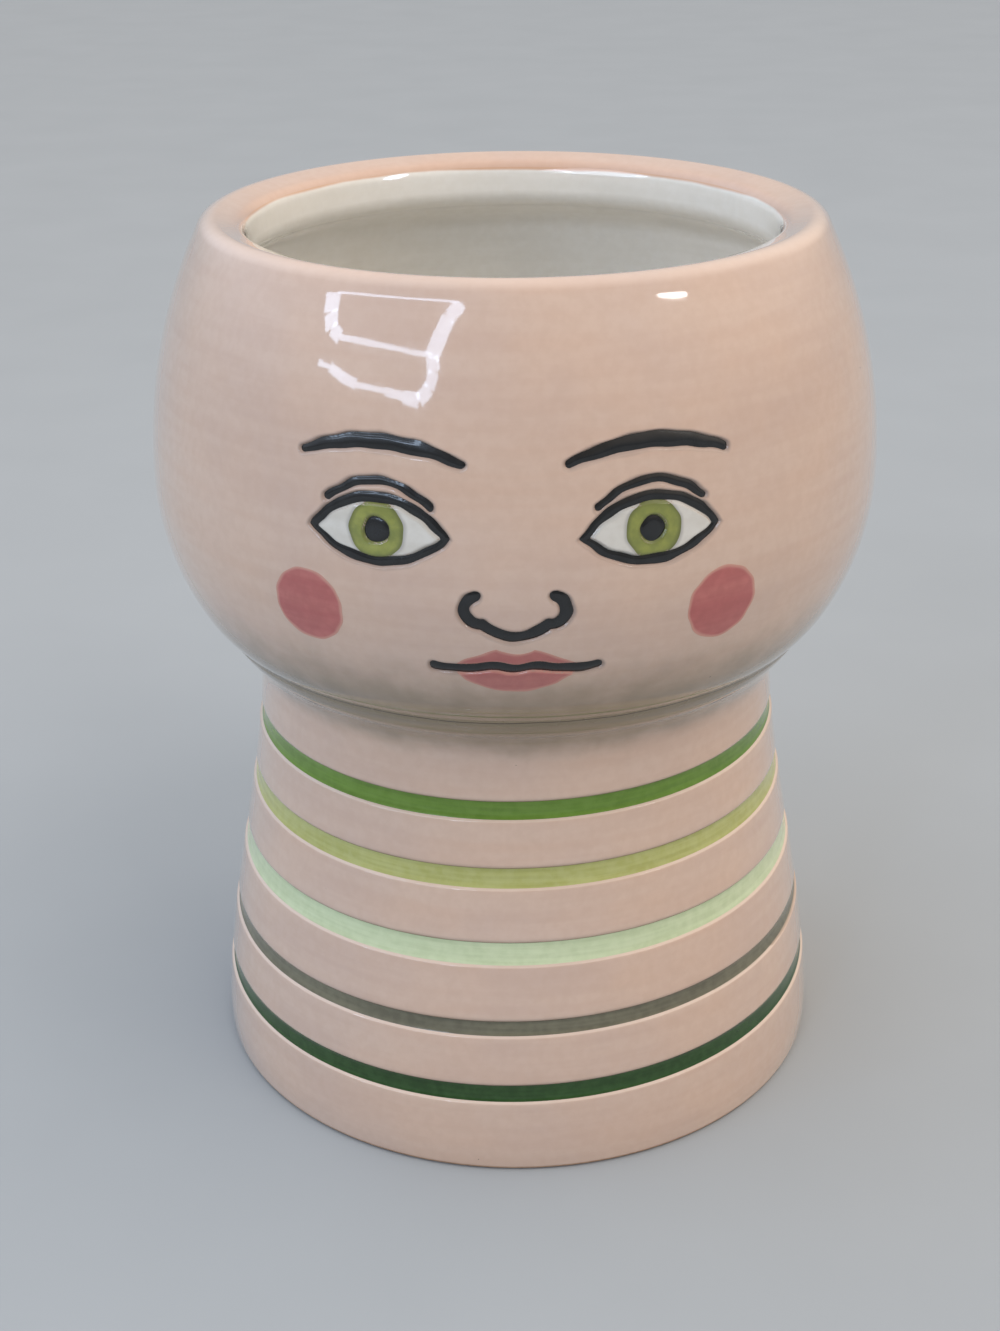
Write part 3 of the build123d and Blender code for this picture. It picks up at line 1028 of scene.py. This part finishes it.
def glaze(name, tones, shares, layers=(), speck="#4a3f36", brush=brush_size, sag=0.014, gloss=(0.05, 0.12),
          coat=1.0):
    """Glaze of one tone, shaded towards a cloud, a streak and a grain tone, each to its largest share.
    A layer is an attribute of the piece, where it starts and ends in mm, a colour and a share."""
    material = bpy.data.materials.new(name)
    add = blank(material)
    place = add("TexCoord").outputs["Object"]
    brushed = add("Mapping", {"Vector": place, "Scale": (1, 1, brush[0] / brush[1])}).outputs[0]
    noise = {}
    for use, vector, size, detail in (
            ("cloud", place, cloud_size, 3.0), ("streak", brushed, brush[0], 4.0),
            ("grain", place, mottle_size, 3.0), ("waver", place, edge_waver, 3.0),
            ("sag", place, sag_size, 2.0), ("pinhole", place, pinhole_size, 2.0)):
        noises = add("TexNoise", {"Vector": vector, "Scale": scale_for(size), "Detail": detail})
        noise[use] = noises.outputs["Fac"]
    coats = []
    for use, tone, share in zip(("cloud", "streak", "grain"), tones[1:], shares):
        amount = add("MapRange", {"Value": noise[use], "From Min": 0.32, "From Max": 0.68, "To Max": share},
                     interpolation_type="SMOOTHSTEP")
        coats.append((amount.outputs[0], tone))
    for attribute, start, end, tone, share in layers:
        there = add("Attribute", attribute_name=attribute).outputs["Fac"]
        waver = (end - start) * layer_waver
        uneven = add("Math", {0: noise["waver"], 1: waver, 2: there}, operation="MULTIPLY_ADD")
        amount = add("MapRange", {"Value": uneven.outputs[0], "From Min": start + waver / 2,
                                  "From Max": end + waver / 2, "To Max": share},
                     interpolation_type="SMOOTHSTEP")
        coats.append((amount.outputs[0], tone))
    cells = add("TexVoronoi", {"Vector": place, "Scale": scale_for(speck_spacing)})
    chance = add("SeparateColor", {0: cells.outputs["Color"]})
    radius = add("MapRange", {"Value": chance.outputs[0], "From Min": 0.5, "From Max": 1.0,
                              "To Max": speck_radius / speck_spacing})
    hit = add("Math", {0: cells.outputs["Distance"], 1: radius.outputs[0]}, operation="LESS_THAN")
    faint = add("Math", {0: hit.outputs[0], 1: 0.7}, operation="MULTIPLY")
    coats.append((faint.outputs[0], speck))
    result = linear(tones[0])
    for amount, tone in coats:
        result = add("Mix", {0: amount, 6: result, 7: linear(tone)}, data_type="RGBA").outputs[2]
    bumps = []
    for use, depth in (("sag", sag), ("streak", brush_relief), ("pinhole", pinhole_depth)):
        over = {"Normal": bumps[-1]} if bumps else {}
        bumps.append(add("Bump", {"Height": noise[use], "Distance": depth * MM, **over}).outputs[0])
    roughness = add("MapRange", {"Value": noise["waver"], "From Min": 0.35, "From Max": 0.65,
                                 "To Min": gloss[0], "To Max": gloss[1]})
    shader = add("BsdfPrincipled", {
        "Base Color": result, "Roughness": roughness.outputs[0], "IOR": glass_ior, "Normal": bumps[2],
        "Specular IOR Level": 0.5 - 0.3 * coat,
        "Coat Weight": coat, "Coat Roughness": 0.03, "Coat IOR": glass_ior, "Coat Normal": bumps[1],
    })
    add("OutputMaterial", {"Surface": shader.outputs[0]})
    return material


# %% [markdown]
# ## The colours of this vase
# Peach slip under clear glaze covers the outside. It turns a little orange where it runs thick into the
# mouth. It is painted dark olive towards the joint, as painted shade and a painted olive reflection under
# the jaw and on the neck, and painted pale on the shoulder and on the lower edge of each groove, as painted
# highlights; the upper edge of each groove is painted darker, as painted shade. Beside a black line the
# slip is stained grey. The stripe glazes are opaque and streaky from the brush. The black is an iron and
# manganese glaze with a faint dust of grey crystals, darkest at its edges and painted a little greyer
# towards the middle, as a painted reflection. Cheeks, lips and irises are underglaze paint under the same
# gloss.

# %% Mix the glazes
peach = ("#dbbca7", "#ceb5a8", "#e0c7b5", "#cbaa94"), (0.6, 0.45, 0.22)
# Dark olive towards the joint: painted shade and a painted olive reflection under the jaw and on the neck
painted_shade_and_reflection_at_joint = "#776c52"
stripe_brush = (16.0, 0.7)
# Head: a painted highlight on the shoulder, thick orange glaze inside the lip, painted shade towards the
# joint and grey stain beside the lines
head_glaze = glaze("peach_slip_under_clear_glaze", *peach, layers=[
    ("from_shoulder", 2.6, 0.8, "#ead6c8", 0.3), ("past_shoulder", 3.6, 7.4, "#d9a688", 0.3),
    ("from_joint", 17.0, 0.5, painted_shade_and_reflection_at_joint, 0.8), ("line_distance", 0.8, 0.1, "#8c7a72", 0.6)])
# Base: painted shade towards the joint and in the upper edge of each groove, a painted highlight on its lower
# edge
base_glaze = glaze("peach_slip_on_the_base", *peach, layers=[
    ("from_joint", 11.0, 3.0, painted_shade_and_reflection_at_joint, 0.8), ("upper_edge", 0.0, 0.5, "#7f7058", 0.7),
    ("lower_edge", 0.01, 0.12, "#efe0d2", 0.35)])
white_glaze = glaze("white_liner_glaze", ("#f3f0e8", "#eae7df", "#f9f6ef", "#e4dfd3"), (0.6, 0.5, 0.2),
                    [("below_lip", 0.7, 0.2, "#d8af93", 1.0)])
# The slip is toned dark olive to meet the painted shade round the joint; its fine dark line is the fired seam
slip_glaze_in_painted_shade = glaze("slip_over_the_joint_in_painted_shade", ("#90816a", "#8a7c64", "#978870", "#88775f"),
                    (0.6, 0.45, 0.22), [("from_line", 0.16, 0.05, "#33261d", 0.85)],
                    gloss=(0.2, 0.35), coat=0.4)
# Black glaze, painted a little greyer towards the middle of each line: a painted reflection
line_glaze = glaze("black_manganese_glaze", ("#0d0e0f", "#121314", "#17181a", "#2b2d2f"), (0.6, 0.4, 0.35),
                   [("from_rim", 0.3, 0.9, "#222426", 0.6)], "#c9c4bb", sag=0.05, gloss=(0.12, 0.3), coat=0.6)
eye_white_glaze = glaze("white_underglaze", ("#ddd9d0", "#cfcabf", "#e9e6df", "#c2b9ab"), (0.6, 0.5, 0.2),
                        [("from_rim", 0.7, 0.0, "#8d8a84", 0.5)])
iris_glaze = glaze("yellow_green_underglaze", ("#969b4a", "#adb05e", "#7d8540", "#66703a"), (0.6, 0.5, 0.4),
                   [("from_rim", 0.8, 0.0, "#4d5130", 0.55)])
cheek_glaze = glaze("rose_underglaze", ("#bf6a66", "#b15e5c", "#ce7f77", "#a35753"), (0.6, 0.5, 0.3),
                    [("from_rim", 0.7, 0.0, "#d4a290", 0.8)])
lip_glaze = glaze("coral_underglaze", ("#bd7069", "#ad625e", "#cb857b", "#a05a58"), (0.6, 0.5, 0.3),
                  [("from_rim", 0.6, 0.0, "#cf9c8b", 0.7)])
stripe_tones = {
    "stripe_green": ("leaf_green_glaze", ("#65892d", "#739739", "#527123", "#7fa049")),
    "stripe_olive": ("olive_yellow_glaze", ("#b8ba70", "#c2c47e", "#a2a358", "#cdd198")),
    "stripe_mint": ("mint_glaze", ("#cddbb1", "#d5e2bb", "#bbca9d", "#e7f0cd")),
    "stripe_grey_green": ("grey_green_glaze", ("#6e6b5a", "#7c7963", "#585647", "#8e8a73")),
    "stripe_dark_green": ("dark_green_glaze", ("#244718", "#2e5221", "#1a3810", "#406433")),
}
stripe_glazes = {
    stripe: glaze(name, tones, (0.6, 0.5, 0.25), speck="#2f3324", brush=stripe_brush, gloss=(0.08, 0.2),
                  coat=0.3)
    for stripe, (name, tones) in stripe_tones.items()
}
bare_clay = glaze("bare_earthenware_foot", ("#c7a183", "#b58e70", "#d4b196", "#a37d62"), (0.6, 0.5, 0.5),
                  gloss=(0.7, 0.9), coat=0.0)
print(f"{len(bpy.data.materials)} materials")

# %% [markdown]
# ## Dressing
# Every piece takes its glaze and stands for its node of the frame. The foot ring was wiped before firing so
# that it would not stick to the kiln shelf: its faces take the bare clay.

# %% Put the glazes on


def dress(piece, material, node):
    piece.data.materials.clear()
    piece.data.materials.append(material)
    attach(piece, "root")
    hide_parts(node)


dress(bowl, head_glaze, "head_bowl")
dress(base, base_glaze, "base_skirt")
dress(slip_ring, slip_glaze_in_painted_shade, "joint_slip")
dress(liner, white_glaze, "inner_glaze")
for name, piece in ring_pieces.items():
    dress(piece, stripe_glazes[name], name)
mark_finishes = {
    "eye_white": (eye_white_glaze, "eye_white_glaze"), "iris": (iris_glaze, "iris_glaze"),
    "cheek": (cheek_glaze, "cheek_glaze"), "upper_lip": (lip_glaze, "lip_glaze"),
    "lower_lip": (lip_glaze, "lip_glaze"),
}
for mark in face_marks:
    material, slot = mark_finishes.get(mark, (line_glaze, "line_glaze"))
    for name, _ in sides_of(mark):
        dress(mark_pieces[name], material, name)

base.data.materials.append(bare_clay)
wiped_height = 1.0
middles = middles_of(base)
under_foot = (middles[:, 2] < wiped_height) | (
    (middles[:, 2] < foot_recess + 0.1) & (np.hypot(middles[:, 0], middles[:, 1]) < foot_ring_inner + 1))
base.data.polygons.foreach_set("material_index", under_foot.astype(int))
print(f"{under_foot.sum()} faces of bare clay")

# %% [markdown]
# ## Floor, camera and light
# The vase stands on a plain pale floor in a bright room, and the camera looks down into its mouth. The
# room gives most of the light: it is brightest overhead and behind, warm on the right and cool on the
# side of the window, and it ends in a haze at the floor, so that the gloss mirrors no hard edge. One
# lamp from the upper right models the form.

# %% Floor
deselect_all()
bpy.ops.mesh.primitive_plane_add(size=6)
floor = bpy.context.object
floor.name = "floor"
paper = bpy.data.materials.new("matt_paper_floor")
add = blank(paper)
fibres = add("TexNoise", {"Vector": add("TexCoord").outputs["Object"], "Scale": scale_for(60), "Detail": 3.0})
tone = add("Mix", {0: fibres.outputs["Fac"], 6: linear("#a8aeb2"), 7: linear("#afb5b9")}, data_type="RGBA")
matt = add("BsdfPrincipled", {"Base Color": tone.outputs[2], "Roughness": 0.9, "IOR": 1.4})
add("OutputMaterial", {"Surface": matt.outputs[0]})
floor.data.materials.append(paper)
floor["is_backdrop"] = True

# %% Camera
camera_place = Vector((0, -336.9, 233.0))
camera_pitch, camera_yaw, camera_roll = 25.22, -0.519, -0.541
camera_lens = 51.55
camera_sensor = 36.0
picture_width, picture_height = 1000, 1331
pitch, yaw, roll = (math.radians(a) for a in (camera_pitch, camera_yaw, camera_roll))
ahead = Vector((math.sin(yaw) * math.cos(pitch), math.cos(yaw) * math.cos(pitch), -math.sin(pitch)))
level_right = ahead.cross(Vector((0, 0, 1))).normalized()
level_up = level_right.cross(ahead)
right = level_right * math.cos(roll) + level_up * math.sin(roll)
up = level_up * math.cos(roll) - level_right * math.sin(roll)
deselect_all()
bpy.ops.object.camera_add()
camera = bpy.context.object
camera.data.lens = camera_lens
camera.data.sensor_width = camera_sensor
turned = Matrix((right, up, -ahead)).transposed().to_4x4()
camera.matrix_world = Matrix.Translation(camera_place * MM) @ turned
bpy.context.scene.camera = camera
bpy.context.scene.view_settings.view_transform = "Standard"

# %% Light of the room
room = bpy.data.worlds.new("pale_room")
bpy.context.scene.world = room
add = blank(room)
way = add("SeparateXYZ", {0: add("TexCoord").outputs["Generated"]})
ramps = []
# Each ramp: its axis, where it starts and ends, and its value there. The first four are brightness.
for axis, first, last, low, high in (
        ("Z", -0.1, 1.0, 0.45, 0.88), ("Y", -1.0, 0.4, 0.64, 1.14), ("X", 0.05, 0.85, 1.0, 2.12),
        ("X", -0.05, -0.85, 1.0, 2.0), ("X", 0.6, -0.9, 0.0, 1.0), ("Y", -1.0, 0.4, 0.6, 1.0),
        ("Z", -0.02, 0.34, 0.0, 1.0)):
    ramps.append(add("MapRange", {"Value": way.outputs[axis], "From Min": first, "From Max": last,
                                  "To Min": low, "To Max": high}, interpolation_type="SMOOTHSTEP").outputs[0])
*strengths, to_window, to_back, above = ramps
brightness = 1.0
for strength in strengths:
    brightness = add("Math", {0: strength, 1: brightness}, operation="MULTIPLY").outputs[0]
walls = add("Mix", {0: to_window, 6: linear("#f5eadf"), 7: linear("#dfe8f6")}, data_type="RGBA")
glow = add("Background", {"Color": walls.outputs[2], "Strength": brightness})
haze = add("Background", {"Color": linear("#b0b4b8"), "Strength": to_back})
air = add("MixShader", {0: above, 1: haze.outputs[0], 2: glow.outputs[0]})
add("OutputWorld", {"Surface": air.outputs[0]})
middle_of_vase = Vector((0, 0, 100 * MM))


def lamp(name, place, size, power, colour="#ffffff", along=(0, 0, 1), shape="RECTANGLE"):
    """A soft lamp at a place in mm that faces the vase, its long side turned along a way."""
    deselect_all()
    bpy.ops.object.light_add(type="AREA")
    light = bpy.context.object
    light.name = name
    light.data.shape = shape
    light.data.size, light.data.size_y = size[0] * MM, size[1] * MM
    light.data.energy = power
    light.data.color = linear(colour)[:3]
    spot = Vector(place) * MM
    back = (spot - middle_of_vase).normalized()
    side = back.cross(Vector(along)).normalized()
    turned = Matrix((side, back.cross(side), back)).transposed().to_4x4()
    light.matrix_world = Matrix.Translation(spot) @ turned
    return light


lamp("upper_right", (900, -1000, 2000), (1200, 1200), 12, "#fff4ea").visible_glossy = False

# %% [markdown]
# ## What the gloss mirrors
# Clear glaze is a mirror, and a highlight is a picture of what shines into it: here a window frame and
# a small lamp. Where each bar belongs is found backwards. A ray from the camera through the place where
# the bar shows is mirrored by the bowl, and the bar stands where that ray ends in the room. Two more
# lamps give the highlights on the inner lip. Only the liner mirrors them.

# %% Find the place of a highlight in the room
window_distance = 900.0
pixels_in_lens = camera_lens / camera_sensor * picture_height
outline = soften(outer_wall(0.05) + [lip_edge], [(shoulder, lip_shoulder_round, 200)])
outline = np.array(outline[:np.argmax([p[1] for p in outline]) + 1])
uphill = np.gradient(outline, axis=0)
uphill /= np.hypot(uphill[:, 0], uphill[:, 1])[:, None]


def mirrored(x, y):
    """Place in the room, in mm, that the bowl mirrors to a pixel of the picture."""
    ray = ahead * pixels_in_lens + right * (x - picture_width / 2) - up * (y - picture_height / 2)
    ray.normalize()
    along = np.array(camera_place) + np.arange(200, 450, 0.02)[:, None] * np.array(ray)
    bowl_radius = np.interp(along[:, 2], outline[:, 1], outline[:, 0], right=-1)
    spot = along[np.argmax(np.hypot(along[:, 0], along[:, 1]) <= bowl_radius)]
    slope = [np.interp(spot[2], outline[:, 1], uphill[:, i]) for i in (0, 1)]
    normal = Vector((*(spot[:2] / np.hypot(*spot[:2]) * slope[1]), -slope[0])).normalized()
    return Vector(spot) + (ray - 2 * ray.dot(normal) * normal) * window_distance


# %% A window frame and a lamp
# Each bar: where it shows in the picture, x and y in pixels, and how wide it is there, in mm
bar_power = 0.000027
window_bars = [
    [(334, 292, 82), (331, 312, 79), (332, 328, 60), (340, 337, 36)],
    [(340, 337, 24), (375, 344, 16), (412, 352, 17), (432, 356, 26)],
    [(462, 303, 49), (449, 318, 66), (441, 335, 72), (432, 357, 78), (434, 372, 49), (429, 388, 54),
     (419, 401, 58)],
    [(419, 401, 56), (403, 397, 45), (385, 391, 20), (356, 385, 22), (343, 378, 46), (330, 367, 27),
     (318, 362, 13)],
    [(338, 291, 24), (400, 294, 20), (457, 301, 24)],
]
for bar, points in enumerate(window_bars):
    for (*first, first_width), (*second, second_width) in zip(points, points[1:]):
        start, end = mirrored(*first), mirrored(*second)
        size = ((first_width + second_width) / 2, (end - start).length)
        power = bar_power * size[0] * size[1]
        lamp(f"window_bar_{bar}", (start + end) / 2, size, power, "#cadffa", end - start)
lamp("small_lamp", (692, -430, 630), (26, 173), 0.2, along=(109, 125, -49), shape="ELLIPSE")

mouth = bpy.data.collections.new("mirrors_in_the_mouth")
mouth.objects.link(liner)
for name, place, size, power in (("window_in_the_lip", (-564, -636, 611), (890, 670), 5.0),
                                 ("lamp_in_the_lip", (747, -449, 561), (173, 480), 3.5)):
    glint = lamp(name, place, size, power, "#dde4fa", shape="ELLIPSE")
    glint.visible_diffuse = False
    glint.light_linking.receiver_collection = mouth

# %% [markdown]
# ## Measuring
# The dressed vase must keep the size of the frame, so both boxes are written down side by side.

# %% Compare the boxes
visual_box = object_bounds()
for low_or_high, cad, visual in zip(("lowest", "highest"), cad_box, visual_box):
    print(low_or_high, [round(v / MM, 1) for v in cad], [round(v / MM, 1) for v in visual])
